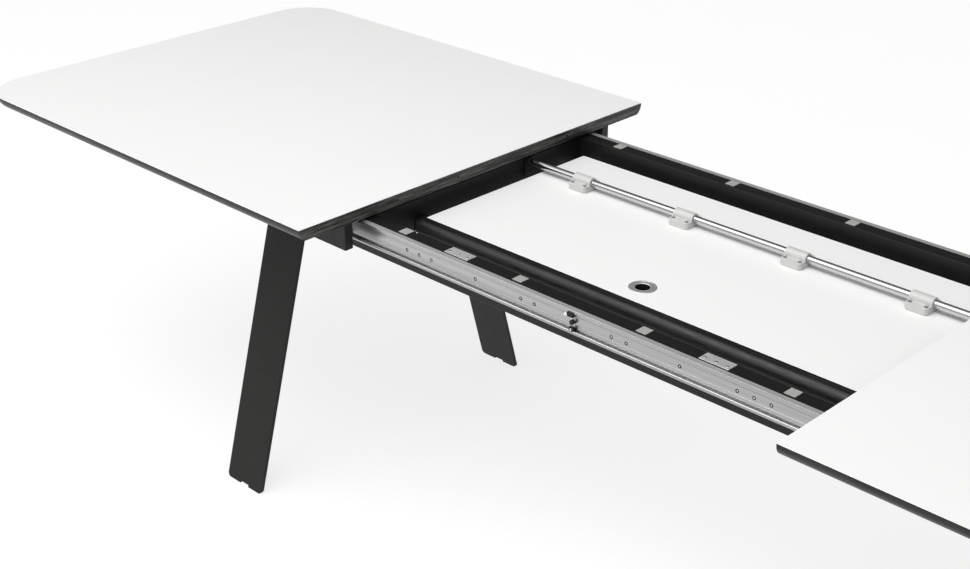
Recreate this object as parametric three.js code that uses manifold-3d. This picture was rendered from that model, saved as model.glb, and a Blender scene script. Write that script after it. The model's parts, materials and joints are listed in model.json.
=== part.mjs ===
// Extendable dining table. Two top halves slide apart on a frame with splayed plate legs, and a
// folded butterfly leaf lies under the opening, turning about a rod to fill it.
// Millimetres, +Z up. X runs along the table and Y across it, with "near" at -Y and "left" at -X.
// The origin is on the floor under the middle. The table is modelled pulled open, with its leaf stowed.
import * as THREE from "three";
import { mergeVertices } from "three/addons/utils/BufferGeometryUtils.js";
import Module from "manifold-3d";

const wasm = await Module();
wasm.setup();

// Driving dimensions
const TABLE_HEIGHT = 760;
const TABLE_WIDTH = 1000;
const HALF_LENGTH = 1160;
const OPENING = 1075;
const LEAF_LENGTH = 1016;
const CORNER_RADIUS = 110;
const BOARD_THICKNESS = 25;
const SHEET_THICKNESS = 1;
const EDGE_FLAT = 3;
const EDGE_INSET = 15;

// Frame, by distance from the middle and depth under the table's surface
const RAIL_OUTER_Y = 331;
const RAIL_WIDTH = 31;
const RAIL_TOP = 31;
const RAIL_BOTTOM = 99;
const FRAME_HALF_LENGTH = 1000;
const CROSS_RAIL_WIDTH = 25;
const WELL_HALF_LENGTH = 545;
const SLIDE_HALF_LENGTH = 980;
const SLIDE_DEPTH = 12;
const SLIDE_BOTTOM = 77;
const SLIDE_WALL = 2;
const SLIDE_WEB = 6;
const SLIDE_SLOT = 34;
const RUNNER_NECK = 24;
const RUNNER_PLAY = 0.6;
const RUNNER_SETBACK = 38;
const RUNNER_LENGTH = 925;
const APRON_INNER_Y = 368;
const APRON_WIDTH = 20;
const APRON_HEIGHT = 54;
const APRON_LENGTH = 1040;
const APRON_SETBACK = 0.5;

// Legs: upright plates seen from the side, splayed across the table
const LEG_INNER_X = 832;
const LEG_WIDTH = 118;
const LEG_THICKNESS = 8;
const LEG_FOOT_Y = 415;
const LEG_SPLAY = 0.274;
const LEG_CORNER = 10;
const FOOT_NOTCH_WIDTH = 27;
const FOOT_NOTCH_HEIGHT = 5;
const BRIDGE_THICKNESS = 8;

// Folded leaf and the rod it turns about
const ROD_Y = 136;
const ROD_DEPTH = 41;
const ROD_RADIUS = 8;
const ROD_HALF_LENGTH = 540;
const FOLD_GAP = 1;
const LIPPING = 28;
const PULL_X = 0;
const PULL_Y = -145;
const PULL_RADIUS = 26.5;
const PULL_HOLE_RADIUS = 14;
const PULL_THICKNESS = 1.4;
const CLIP_XS = [-387, -123, 141, 405];
const HINGE_XS = [-330, 330];
const SOCKET_YS = [-453, -416, -250, -83, 83, 250, 416, 453];
const SOCKET_DEPTH_UNDER_TOP = 13;
const SOCKET_RADIUS = 2.75;
const SOCKET_LENGTH = 19;

const PAD_XS = [-442, -143, 143, 442];
const PAD_SIZE = 22;
const PAD_HEIGHT = 2;
const PLATE_XS = [-296, 296];
const PLATE_LENGTH = 60;
const PLATE_WIDTH = 25;
const PLATE_THICKNESS = 1.5;
// Touching pieces keep a gap, and a cutting shape runs a little past the face it cuts.
const GAP = 0.3;
const OVERCUT = 1;

const TOP_UNDERSIDE = TABLE_HEIGHT - BOARD_THICKNESS;
const RAIL_INNER_Y = RAIL_OUTER_Y - RAIL_WIDTH;
const RAIL_MIDDLE_Y = RAIL_OUTER_Y - RAIL_WIDTH / 2;
const ROD_Z = TABLE_HEIGHT - ROD_DEPTH;
const LEAF_HALF_WIDTH = TABLE_WIDTH / 2;
const FOLD_Y = 2 * ROD_Y;
// Turned over about the rod, the upper half's face comes up flush with the table's surface.
const FAR_FACE_Z = 2 * ROD_Z - TABLE_HEIGHT;
const FAR_BACK_Z = FAR_FACE_Z + BOARD_THICKNESS;
const FOLD_Z = FAR_FACE_Z - FOLD_GAP / 2;
const SIDES = [["near", -1], ["far", 1]];
const ENDS = [["left", -1], ["right", 1]];
const AXIS_X = new THREE.Vector3(1, 0, 0);
const AXIS_Y = new THREE.Vector3(0, 1, 0);
const AXIS_Z = new THREE.Vector3(0, 0, 1);

function finish(color, roughness, metalness = 0) {
  return new THREE.MeshStandardMaterial({ color, roughness, metalness });
}

const WHITE_LAMINATE = finish("#f1f1ef", 0.35);
const BLACK_OAK = finish("#1d1c1a", 0.55);
const BLACK_LACQUER = finish("#191918", 0.5);
const LEG_PAINT = finish("#2b2a28", 0.6, 0.3);
const SLIDE_ALUMINIUM = finish("#b9bab8", 0.35, 1);
const RUNNER_ALUMINIUM = finish("#a6a7a6", 0.4, 1);
const ROD_CHROME = finish("#d5d6d6", 0.12, 1);
const CLIP_PLASTIC = finish("#ecebe8", 0.4);
const BLACK_PLASTIC = finish("#141414", 0.5);
const FELT = finish("#b4b3af", 0.95);
const PLATE_STEEL = finish("#8f9091", 0.35, 1);
const PULL_STEEL = finish("#a9a9a8", 0.3, 1);

const table = new THREE.Group();

function place(parent, name, geometry, material, position = [0, 0, 0]) {
  const mesh = new THREE.Mesh(geometry, material);
  mesh.name = name;
  mesh.position.set(...position);
  parent.add(mesh);
  return mesh;
}

// A block between low and high corners
function block(parent, name, material, low, high) {
  const size = high.map((value, axis) => value - low[axis]);
  const centre = high.map((value, axis) => (value + low[axis]) / 2);
  return place(parent, name, new THREE.BoxGeometry(...size), material, centre);
}

// Booleans work on the position-only, vertex-merged form of a closed mesh.
function toSolid(geometry) {
  const bare = geometry.clone();
  bare.deleteAttribute("normal");
  bare.deleteAttribute("uv");
  const merged = mergeVertices(bare, 1e-4);
  const vertProperties = Float32Array.from(merged.attributes.position.array);
  const triVerts = Uint32Array.from(merged.index.array);
  return new wasm.Manifold(new wasm.Mesh({ numProp: 3, vertProperties, triVerts }));
}

function toGeometry(solid) {
  const mesh = solid.getMesh();
  const geometry = new THREE.BufferGeometry();
  geometry.setAttribute("position", new THREE.BufferAttribute(mesh.vertProperties, 3));
  geometry.setIndex(new THREE.BufferAttribute(mesh.triVerts, 1));
  geometry.computeVertexNormals();
  return geometry;
}

function boxSolid(low, high) {
  const geometry = new THREE.BoxGeometry(...high.map((value, axis) => value - low[axis]));
  geometry.translate(...high.map((value, axis) => (value + low[axis]) / 2));
  return toSolid(geometry);
}

// A bar of the given outline, running from one value to another along an axis.
// Outline points are (Y, Z) along X, (X, Z) along Y and (X, Y) along Z.
function bar(points, axis, from, to) {
  const depth = to - from;
  const shape = new THREE.Shape(points.map(([u, v]) => new THREE.Vector2(u, v)));
  const geometry = new THREE.ExtrudeGeometry(shape, { depth, bevelEnabled: false });
  if (axis === AXIS_X) {
    const cycle = new THREE.Matrix4().makeBasis(AXIS_Y, AXIS_Z, AXIS_X);
    geometry.applyMatrix4(cycle);
    geometry.translate(from, 0, 0);
  } else if (axis === AXIS_Y) {
    geometry.rotateX(Math.PI / 2);
    geometry.translate(0, to, 0);
  } else {
    geometry.translate(0, 0, from);
  }
  return geometry;
}

function arc(centreU, centreV, radius, start, end, steps) {
  return Array.from({ length: steps + 1 }, (_, step) => {
    const angle = start + ((end - start) * step) / steps;
    return [centreU + radius * Math.cos(angle), centreV + radius * Math.sin(angle)];
  });
}

function circle(centreU, centreV, radius, steps = 24) {
  return arc(centreU, centreV, radius, 0, 2 * Math.PI * (1 - 1 / steps), steps - 1);
}

// How far the board's edge lies inside its outline at a depth under its face:
// straight down at first, and then curving under on one arc.
function edgeInset(depth) {
  const drop = BOARD_THICKNESS - EDGE_FLAT;
  const radius = (drop ** 2 + EDGE_INSET ** 2) / (2 * EDGE_INSET);
  const below = Math.max(depth - EDGE_FLAT, 0);
  return radius - Math.sqrt(radius ** 2 - below ** 2);
}

const EDGE_STEPS = 5;
const EDGE_DEPTHS = Array.from({ length: EDGE_STEPS + 1 }, (_, step) => {
  return EDGE_FLAT + ((BOARD_THICKNESS - EDGE_FLAT) * step) / EDGE_STEPS;
});

// ---- Sliding top halves, drawn at the right and turned half a circle for the left ----

function topOutline(inset) {
  const start = OPENING / 2;
  const end = start + HALF_LENGTH - inset;
  const side = TABLE_WIDTH / 2 - inset;
  const radius = CORNER_RADIUS - inset;
  const steps = 8;
  return [
    [start, -side],
    ...arc(end - radius, radius - side, radius, -Math.PI / 2, 0, steps),
    ...arc(end - radius, side - radius, radius, 0, Math.PI / 2, steps),
    [start, side],
  ];
}

// A closed solid through outlines of equal length, listed from the lowest up.
function loft(levels) {
  const count = levels[0].outline.length;
  const positions = levels.flatMap(({ z, outline }) => outline.flatMap(([x, y]) => [x, y, z]));
  const index = [];
  for (let level = 0; level + 1 < levels.length; level += 1) {
    for (let i = 0; i < count; i += 1) {
      const a = level * count + i;
      const b = level * count + ((i + 1) % count);
      index.push(a, b, b + count, a, b + count, a + count);
    }
  }
  const top = (levels.length - 1) * count;
  for (let i = 1; i + 1 < count; i += 1) {
    index.push(0, i + 1, i);
    index.push(top, top + i, top + i + 1);
  }
  const geometry = new THREE.BufferGeometry();
  geometry.setAttribute("position", new THREE.Float32BufferAttribute(positions, 3));
  geometry.setIndex(index);
  return geometry;
}

function topBoard() {
  const depths = [...EDGE_DEPTHS].reverse().concat(SHEET_THICKNESS);
  const levels = depths.map((depth) => {
    return { z: TABLE_HEIGHT - depth, outline: topOutline(edgeInset(depth)) };
  });
  let board = toSolid(loft(levels));
  const socketZ = TABLE_HEIGHT - SOCKET_DEPTH_UNDER_TOP;
  for (const y of SOCKET_YS) {
    const mouth = OPENING / 2 - OVERCUT;
    const socket = bar(circle(y, socketZ, SOCKET_RADIUS, 12), AXIS_X, mouth, mouth + SOCKET_LENGTH);
    board = board.subtract(toSolid(socket));
  }
  return toGeometry(board);
}

// The runner is a T: its wide head slides inside the channel and its neck is screwed to the apron.
function runnerOutline(side) {
  const middle = TABLE_HEIGHT - (RAIL_TOP + SLIDE_BOTTOM) / 2;
  const headInner = RAIL_OUTER_Y + SLIDE_WEB + RUNNER_PLAY;
  const headOuter = RAIL_OUTER_Y + SLIDE_DEPTH - SLIDE_WALL - RUNNER_PLAY;
  const headHalf = (SLIDE_BOTTOM - RAIL_TOP) / 2 - SLIDE_WALL - RUNNER_PLAY;
  const neckHalf = RUNNER_NECK / 2;
  return [
    [headInner, -headHalf],
    [headOuter, -headHalf],
    [headOuter, -neckHalf],
    [APRON_INNER_Y, -neckHalf],
    [APRON_INNER_Y, neckHalf],
    [headOuter, neckHalf],
    [headOuter, headHalf],
    [headInner, headHalf],
  ].map(([y, z]) => [side * y, middle + z]);
}

function topHalf(end, turn) {
  const half = new THREE.Group();
  half.rotation.z = turn;
  const start = OPENING / 2;
  const sheetBottom = TABLE_HEIGHT - SHEET_THICKNESS;
  place(half, `${end}_top_board`, topBoard(), BLACK_OAK);
  place(half, `${end}_top_sheet`, bar(topOutline(0), AXIS_Z, sheetBottom, TABLE_HEIGHT), WHITE_LAMINATE);
  for (const [sideName, side] of SIDES) {
    // A half turn swaps the near and far sides.
    const facing = turn === 0 ? side : -side;
    const apronInner = facing * APRON_INNER_Y;
    const apronOuter = facing * (APRON_INNER_Y + APRON_WIDTH);
    const apronStart = start + APRON_SETBACK;
    const apronLow = [apronStart, Math.min(apronInner, apronOuter), TOP_UNDERSIDE - APRON_HEIGHT];
    const apronHigh = [apronStart + APRON_LENGTH, Math.max(apronInner, apronOuter), TOP_UNDERSIDE];
    block(half, `${end}_apron_${sideName}`, BLACK_LACQUER, apronLow, apronHigh);
    const runnerStart = start + RUNNER_SETBACK;
    const runner = bar(runnerOutline(facing), AXIS_X, runnerStart, runnerStart + RUNNER_LENGTH);
    place(half, `${end}_runner_${sideName}`, runner, RUNNER_ALUMINIUM);
  }
  table.add(half);
}

topHalf("right", 0);
topHalf("left", Math.PI);

// Swivel hooks under the left half, outside its aprons: swung round they draw the halves together.
const HOOK_X = -574;
const HOOK_Y = 455;
const HOOK_LENGTH = 58;
const HOOK_MOUTH = 45;
const HOOK_HALF_WIDTH = 8;
const HOOK_BITE_RADIUS = 5;
const HOOK_THICKNESS = 4;
const HOOK_SPACER = 4;

function hook(side) {
  const shaft = [
    ...arc(0, 0, HOOK_HALF_WIDTH, Math.PI, 2 * Math.PI, 8),
    [HOOK_HALF_WIDTH, HOOK_LENGTH],
    [-HOOK_HALF_WIDTH, HOOK_LENGTH],
  ];
  let plate = toSolid(bar(shaft, AXIS_Z, 0, HOOK_THICKNESS));
  const notch = [
    [HOOK_HALF_WIDTH + OVERCUT, HOOK_MOUTH + HOOK_BITE_RADIUS],
    ...arc(0, HOOK_MOUTH, HOOK_BITE_RADIUS, Math.PI / 2, 1.5 * Math.PI, 8),
    [HOOK_HALF_WIDTH + OVERCUT, HOOK_MOUTH - HOOK_BITE_RADIUS],
  ];
  plate = plate.subtract(toSolid(bar(notch, AXIS_Z, -OVERCUT, HOOK_THICKNESS + OVERCUT)));
  const geometry = toGeometry(plate);
  if (side > 0) {
    geometry.rotateX(Math.PI);
    geometry.translate(0, 0, HOOK_THICKNESS);
  }
  return geometry;
}

for (const [sideName, side] of SIDES) {
  const position = [HOOK_X, side * HOOK_Y, TOP_UNDERSIDE - HOOK_SPACER - HOOK_THICKNESS];
  place(table, `lock_hook_${sideName}`, hook(side), PLATE_STEEL, position);
}

// ---- Frame: rails, slides, legs ----

const railZ = [TABLE_HEIGHT - RAIL_BOTTOM, TABLE_HEIGHT - RAIL_TOP];
const slideZ = [TABLE_HEIGHT - SLIDE_BOTTOM, TABLE_HEIGHT - RAIL_TOP];
const STOP_WIDTH = 18;
const STOP_MARGIN = 4;

// The channel opens outwards, and its two lips hold the runner's head in.
function channelOutline(side) {
  const back = RAIL_OUTER_Y;
  const mouth = RAIL_OUTER_Y + SLIDE_DEPTH;
  const middle = (slideZ[0] + slideZ[1]) / 2;
  const [bottom, top] = slideZ;
  return [
    [back, bottom],
    [mouth, bottom],
    [mouth, middle - SLIDE_SLOT / 2],
    [mouth - SLIDE_WALL, middle - SLIDE_SLOT / 2],
    [mouth - SLIDE_WALL, bottom + SLIDE_WALL],
    [back + SLIDE_WEB, bottom + SLIDE_WALL],
    [back + SLIDE_WEB, top - SLIDE_WALL],
    [mouth - SLIDE_WALL, top - SLIDE_WALL],
    [mouth - SLIDE_WALL, middle + SLIDE_SLOT / 2],
    [mouth, middle + SLIDE_SLOT / 2],
    [mouth, top],
    [back, top],
  ].map(([y, z]) => [side * y, z]);
}

for (const [sideName, side] of SIDES) {
  const railY = [side * RAIL_INNER_Y, side * RAIL_OUTER_Y].sort((a, b) => a - b);
  const railLow = [-FRAME_HALF_LENGTH, railY[0], railZ[0]];
  const railHigh = [FRAME_HALF_LENGTH, railY[1], railZ[1]];
  block(table, `side_rail_${sideName}`, BLACK_LACQUER, railLow, railHigh);
  const channel = bar(channelOutline(side), AXIS_X, -SLIDE_HALF_LENGTH, SLIDE_HALF_LENGTH);
  place(table, `slide_channel_${sideName}`, channel, SLIDE_ALUMINIUM);
  const stopInner = side * (RAIL_OUTER_Y + SLIDE_WEB);
  const stopOuter = side * (RAIL_OUTER_Y + SLIDE_DEPTH - SLIDE_WALL);
  const stopLow = [-STOP_WIDTH / 2, Math.min(stopInner, stopOuter), slideZ[0] + STOP_MARGIN];
  const stopHigh = [STOP_WIDTH / 2, Math.max(stopInner, stopOuter), slideZ[1] - STOP_MARGIN];
  block(table, `slide_stop_${sideName}`, BLACK_PLASTIC, stopLow, stopHigh);
}

const BRIDGE_Z = railZ[0] - BRIDGE_THICKNESS;

// A leg is a plate leaning outwards: its side view is a leaning strip, cut level top and bottom,
// and its front view has rounded lower corners and a notch in the middle of the foot edge.
function leg(end, side) {
  const top = BRIDGE_Z - GAP;
  const across = LEG_THICKNESS * Math.sqrt(1 + LEG_SPLAY ** 2);
  const outerAt = (z) => LEG_FOOT_Y - LEG_SPLAY * z;
  const lean = [
    [outerAt(0) - across, 0],
    [outerAt(0), 0],
    [outerAt(top), top],
    [outerAt(top) - across, top],
  ].map(([y, z]) => [side * y, z]);
  const inner = end * LEG_INNER_X;
  const outer = end * (LEG_INNER_X + LEG_WIDTH);
  const [left, right] = [Math.min(inner, outer), Math.max(inner, outer)];
  const middle = (left + right) / 2;
  const front = [
    ...arc(left + LEG_CORNER, LEG_CORNER, LEG_CORNER, Math.PI, 1.5 * Math.PI, 4),
    [middle - FOOT_NOTCH_WIDTH / 2, 0],
    [middle - FOOT_NOTCH_WIDTH / 2, FOOT_NOTCH_HEIGHT],
    [middle + FOOT_NOTCH_WIDTH / 2, FOOT_NOTCH_HEIGHT],
    [middle + FOOT_NOTCH_WIDTH / 2, 0],
    ...arc(right - LEG_CORNER, LEG_CORNER, LEG_CORNER, 1.5 * Math.PI, 2 * Math.PI, 4),
    [right, top + OVERCUT],
    [left, top + OVERCUT],
  ];
  const strip = toSolid(bar(lean, AXIS_X, left, right));
  return toGeometry(strip.intersect(toSolid(bar(front, AXIS_Y, -TABLE_WIDTH, TABLE_WIDTH))));
}

for (const [endName, end] of ENDS) {
  const spanX = (inner, outer) => [end * inner, end * outer].sort((a, b) => a - b);
  const wellX = spanX(WELL_HALF_LENGTH, WELL_HALF_LENGTH + CROSS_RAIL_WIDTH);
  const wellLow = [wellX[0], -RAIL_INNER_Y, railZ[0]];
  block(table, `well_rail_${endName}`, BLACK_LACQUER, wellLow, [wellX[1], RAIL_INNER_Y, railZ[1]]);
  const endX = spanX(FRAME_HALF_LENGTH - CROSS_RAIL_WIDTH, FRAME_HALF_LENGTH);
  const endLow = [endX[0], -RAIL_INNER_Y, railZ[0]];
  block(table, `end_rail_${endName}`, BLACK_LACQUER, endLow, [endX[1], RAIL_INNER_Y, railZ[1]]);
  const bridgeX = spanX(LEG_INNER_X, LEG_INNER_X + LEG_WIDTH);
  const bridgeLow = [bridgeX[0], -RAIL_OUTER_Y, BRIDGE_Z];
  block(table, `leg_bridge_${endName}`, LEG_PAINT, bridgeLow, [bridgeX[1], RAIL_OUTER_Y, railZ[0]]);
  for (const [sideName, side] of SIDES) {
    place(table, `leg_${endName}_${sideName}`, leg(end, side), LEG_PAINT);
  }
}

// Felt pads carry the leaf and the sliding halves; the plates take the leaf's magnets.
for (const [sideName, side] of SIDES) {
  const padY = side * RAIL_MIDDLE_Y;
  PAD_XS.forEach((x, number) => {
    const low = [x - PAD_SIZE / 2, padY - PAD_SIZE / 2, railZ[1]];
    const high = [x + PAD_SIZE / 2, padY + PAD_SIZE / 2, railZ[1] + PAD_HEIGHT];
    block(table, `felt_pad_${sideName}_${number + 1}`, FELT, low, high);
  });
}
PLATE_XS.forEach((x, number) => {
  const low = [x - PLATE_LENGTH / 2, -RAIL_MIDDLE_Y - PLATE_WIDTH / 2, railZ[1]];
  const high = [x + PLATE_LENGTH / 2, -RAIL_MIDDLE_Y + PLATE_WIDTH / 2, railZ[1] + PLATE_THICKNESS];
  block(table, `catch_plate_${number + 1}`, PLATE_STEEL, low, high);
});

// ---- Rod, its brackets, and the rests that the stowed leaf's pins lie on ----

const rodOutline = circle(ROD_Y, ROD_Z, ROD_RADIUS);
place(table, "leaf_rod", bar(rodOutline, AXIS_X, -ROD_HALF_LENGTH, ROD_HALF_LENGTH), ROD_CHROME);

const PIN_RADIUS = 2.5;
const PIN_LENGTH = 16;
const PIN_Y = FOLD_Y - SOCKET_YS[SOCKET_YS.length - 1];
const PIN_Z = FAR_FACE_Z + SOCKET_DEPTH_UNDER_TOP;
const BRACKET_PLATE = 4;
const BRACKET_HALF_WIDTH = 14;
const BRACKET_DROP = 30;
const BOSS_RADIUS = 10;
const BOSS_LENGTH = 4;
const REST_DROP = 28;
const REST_HALF_WIDTH = 15;
const SHELF_THICKNESS = 4;
const SHELF_END_GAP = 3;
const PIN_PLAY = 0.5;
const leafEndX = LEAF_LENGTH / 2;
const plateX = WELL_HALF_LENGTH - BRACKET_PLATE;

for (const [endName, end] of ENDS) {
  const along = (outline, inner, outer) => {
    const [from, to] = [end * inner, end * outer].sort((a, b) => a - b);
    return bar(outline, AXIS_X, from, to);
  };
  // The bracket is a plate on the cross rail, with a short boss that takes the rod's end.
  const boss = toSolid(along(circle(ROD_Y, ROD_Z, BOSS_RADIUS), plateX - BOSS_LENGTH, WELL_HALF_LENGTH));
  const flange = [
    [ROD_Y - BRACKET_HALF_WIDTH, ROD_Z - BRACKET_DROP],
    [ROD_Y + BRACKET_HALF_WIDTH, ROD_Z - BRACKET_DROP],
    [ROD_Y + BRACKET_HALF_WIDTH, ROD_Z + BOSS_RADIUS],
    [ROD_Y - BRACKET_HALF_WIDTH, ROD_Z + BOSS_RADIUS],
  ];
  const plate = toSolid(along(flange, plateX, WELL_HALF_LENGTH));
  const boreStart = plateX - BOSS_LENGTH - OVERCUT;
  const bore = toSolid(along(circle(ROD_Y, ROD_Z, ROD_RADIUS + GAP), boreStart, plateX));
  place(table, `rod_bracket_${endName}`, toGeometry(boss.add(plate).subtract(bore)), BLACK_PLASTIC);

  // The rest is an angle: its shelf carries the leaf's pin, its other leg hangs down on the rail.
  const shelfTop = PIN_Z - PIN_RADIUS - PIN_PLAY;
  const rest = [
    [WELL_HALF_LENGTH, shelfTop - REST_DROP],
    [WELL_HALF_LENGTH, shelfTop],
    [leafEndX + SHELF_END_GAP, shelfTop],
    [leafEndX + SHELF_END_GAP, shelfTop - SHELF_THICKNESS],
    [plateX, shelfTop - SHELF_THICKNESS],
    [plateX, shelfTop - REST_DROP],
  ].map(([x, z]) => [end * x, z]);
  const restY = [PIN_Y - REST_HALF_WIDTH, PIN_Y + REST_HALF_WIDTH];
  place(table, `leaf_rest_${endName}`, bar(rest, AXIS_Y, ...restY), LEG_PAINT);

  const pin = along(circle(PIN_Y, PIN_Z, PIN_RADIUS, 12), leafEndX, leafEndX + PIN_LENGTH);
  place(table, `leaf_pin_${endName}`, pin, PLATE_STEEL);
}

// ---- Folded leaf: the far half above, face down, and the near half below it, face up ----

// The lipped edge of a leaf half, from its face to its back. Rise is +1 where the back is above.
function leafEdge(faceZ, rise) {
  const edgeY = FOLD_Y - LEAF_HALF_WIDTH;
  const straight = [[edgeY, faceZ]];
  const curved = EDGE_DEPTHS.map((depth) => [edgeY + edgeInset(depth), faceZ + rise * depth]);
  return [...straight, ...curved];
}

const HINGE_LENGTH = 60;
const HINGE_WIDTH = 20;
const HINGE_THICKNESS = 2.4;
const KNUCKLE_LENGTH = 19.6;
const KNUCKLE_CLEARANCE = 4;

function hingeRecess(x, faceZ, rise) {
  const floor = faceZ + rise * (HINGE_THICKNESS + GAP);
  const open = faceZ - rise * OVERCUT;
  const low = [x - HINGE_LENGTH / 2 - GAP, FOLD_Y - HINGE_WIDTH - GAP, Math.min(floor, open)];
  const high = [x + HINGE_LENGTH / 2 + GAP, FOLD_Y + OVERCUT, Math.max(floor, open)];
  return boxSolid(low, high);
}

// One plate of a leaf hinge with its knuckles, which share the fold axis with the other plate's.
function hinge(x, faceZ, rise, knuckles) {
  const outer = faceZ + rise * HINGE_THICKNESS;
  const low = [x - HINGE_LENGTH / 2, FOLD_Y - HINGE_WIDTH, Math.min(faceZ, outer)];
  const high = [x + HINGE_LENGTH / 2, FOLD_Y - GAP, Math.max(faceZ, outer)];
  let plate = boxSolid(low, high);
  const reliefLength = HINGE_LENGTH / 3 + 2 * GAP;
  for (const offset of [-1, 0, 1]) {
    const middle = x + (offset * HINGE_LENGTH) / 3;
    if (knuckles.includes(offset)) {
      const outline = circle(FOLD_Y, FOLD_Z, HINGE_THICKNESS, 12);
      const from = middle - KNUCKLE_LENGTH / 2;
      plate = plate.add(toSolid(bar(outline, AXIS_X, from, from + KNUCKLE_LENGTH)));
    } else {
      const reach = KNUCKLE_CLEARANCE;
      const reliefLow = [middle - reliefLength / 2, FOLD_Y - reach, FOLD_Z - reach];
      const reliefHigh = [middle + reliefLength / 2, FOLD_Y + reach, FOLD_Z + reach];
      plate = plate.subtract(boxSolid(reliefLow, reliefHigh));
    }
  }
  return toGeometry(plate);
}

const sheetZ = FAR_BACK_Z - SHEET_THICKNESS;
const lippingY = FOLD_Y - LEAF_HALF_WIDTH + LIPPING;
const farOutline = [
  ...leafEdge(FAR_FACE_Z, 1),
  [lippingY, FAR_BACK_Z],
  [lippingY, sheetZ],
  [FOLD_Y, sheetZ],
  [FOLD_Y, FAR_FACE_Z],
];
const CUP_WALL = 1;
const CUP_RADIUS = PULL_HOLE_RADIUS + CUP_WALL;
const CUP_DEPTH = 16;
const cupBottom = FAR_BACK_Z - CUP_DEPTH;
const cupOutline = circle(PULL_X, PULL_Y, CUP_RADIUS + GAP);
const cupHole = bar(cupOutline, AXIS_Z, cupBottom - GAP, FAR_BACK_Z + OVERCUT);
let farBoard = toSolid(bar(farOutline, AXIS_X, -leafEndX, leafEndX)).subtract(toSolid(cupHole));
const nearFaceZ = FAR_FACE_Z - FOLD_GAP;
const nearOutline = [
  ...leafEdge(nearFaceZ, -1),
  [FOLD_Y, nearFaceZ - BOARD_THICKNESS],
  [FOLD_Y, nearFaceZ],
];
let nearBoard = toSolid(bar(nearOutline, AXIS_X, -leafEndX, leafEndX));
HINGE_XS.forEach((x, number) => {
  farBoard = farBoard.subtract(hingeRecess(x, FAR_FACE_Z, 1));
  nearBoard = nearBoard.subtract(hingeRecess(x, nearFaceZ, -1));
  place(table, `leaf_hinge_far_${number + 1}`, hinge(x, FAR_FACE_Z, 1, [-1, 1]), PLATE_STEEL);
  place(table, `leaf_hinge_near_${number + 1}`, hinge(x, nearFaceZ, -1, [0]), PLATE_STEEL);
});
place(table, "leaf_far_board", toGeometry(farBoard), BLACK_OAK);
place(table, "leaf_near_board", toGeometry(nearBoard), BLACK_OAK);

const backSheet = boxSolid([-leafEndX, lippingY, sheetZ], [leafEndX, FOLD_Y, FAR_BACK_Z]);
place(table, "leaf_back_sheet", toGeometry(backSheet.subtract(toSolid(cupHole))), WHITE_LAMINATE);

// Finger pull: a flat ring over a blind cup let into the board
const ring = new THREE.LatheGeometry(
  [
    [PULL_HOLE_RADIUS, 0],
    [PULL_RADIUS, 0],
    [PULL_RADIUS, PULL_THICKNESS / 2],
    [PULL_RADIUS - PULL_THICKNESS / 2, PULL_THICKNESS],
    [PULL_HOLE_RADIUS, PULL_THICKNESS],
    [PULL_HOLE_RADIUS, 0],
  ].map(([radius, height]) => new THREE.Vector2(radius, height)),
  32,
);
ring.rotateX(Math.PI / 2);
place(table, "finger_pull_ring", ring, PULL_STEEL, [PULL_X, PULL_Y, FAR_BACK_Z]);
const cup = new THREE.LatheGeometry(
  [
    [0, 0],
    [CUP_RADIUS, 0],
    [CUP_RADIUS, CUP_DEPTH],
    [PULL_HOLE_RADIUS, CUP_DEPTH],
    [PULL_HOLE_RADIUS, CUP_WALL],
    [0, CUP_WALL],
  ].map(([radius, height]) => new THREE.Vector2(radius, height)),
  24,
);
cup.rotateX(Math.PI / 2);
place(table, "finger_pull_cup", cup, BLACK_PLASTIC, [PULL_X, PULL_Y, cupBottom]);

// Saddle clips screwed to the leaf's back, in which the rod turns
const CLIP_LENGTH = 47;
const CLIP_HALF_WIDTH = 27;
const CLIP_FOOT = 14;
const CLIP_CROWN = 12;
const CLIP_CORNER = 8;
const CLIP_PLAY = 0.4;

function clip(x) {
  const from = x - CLIP_LENGTH / 2;
  const to = x + CLIP_LENGTH / 2;
  const foot = boxSolid(
    [from, ROD_Y - CLIP_HALF_WIDTH, FAR_BACK_Z],
    [to, ROD_Y + CLIP_HALF_WIDTH, FAR_BACK_Z + CLIP_FOOT],
  );
  const crown = [
    [ROD_Y + CLIP_CROWN, FAR_BACK_Z],
    ...arc(ROD_Y, ROD_Z, CLIP_CROWN, 0, Math.PI, 12),
    [ROD_Y - CLIP_CROWN, FAR_BACK_Z],
  ];
  const body = foot.add(toSolid(bar(crown, AXIS_X, from, to)));
  const boreOutline = circle(ROD_Y, ROD_Z, ROD_RADIUS + CLIP_PLAY);
  const bore = toSolid(bar(boreOutline, AXIS_X, from - OVERCUT, to + OVERCUT));
  const cornerX = CLIP_LENGTH / 2 - CLIP_CORNER;
  const cornerY = CLIP_HALF_WIDTH - CLIP_CORNER;
  const corners = [[1, 1], [-1, 1], [-1, -1], [1, -1]];
  const plan = corners.flatMap(([signX, signY], quarter) => {
    const start = (quarter * Math.PI) / 2;
    return arc(x + signX * cornerX, ROD_Y + signY * cornerY, CLIP_CORNER, start, start + Math.PI / 2, 4);
  });
  const trim = toSolid(bar(plan, AXIS_Z, FAR_BACK_Z - OVERCUT, TABLE_HEIGHT));
  return toGeometry(body.subtract(bore).intersect(trim));
}

CLIP_XS.forEach((x, number) => {
  place(table, `rod_clip_${number + 1}`, clip(x), CLIP_PLASTIC);
});

export default table;
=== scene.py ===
"""The looks of an extendable dining table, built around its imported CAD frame. Metres, +Z up.

X runs along the table and Y across it; "near" is -Y and "left" is -X. Places come from the CAD
nodes' boxes, so a piece always lies where its node does.
"""

import json
import math

import bmesh
import bpy
from mathutils import Matrix, Vector


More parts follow.
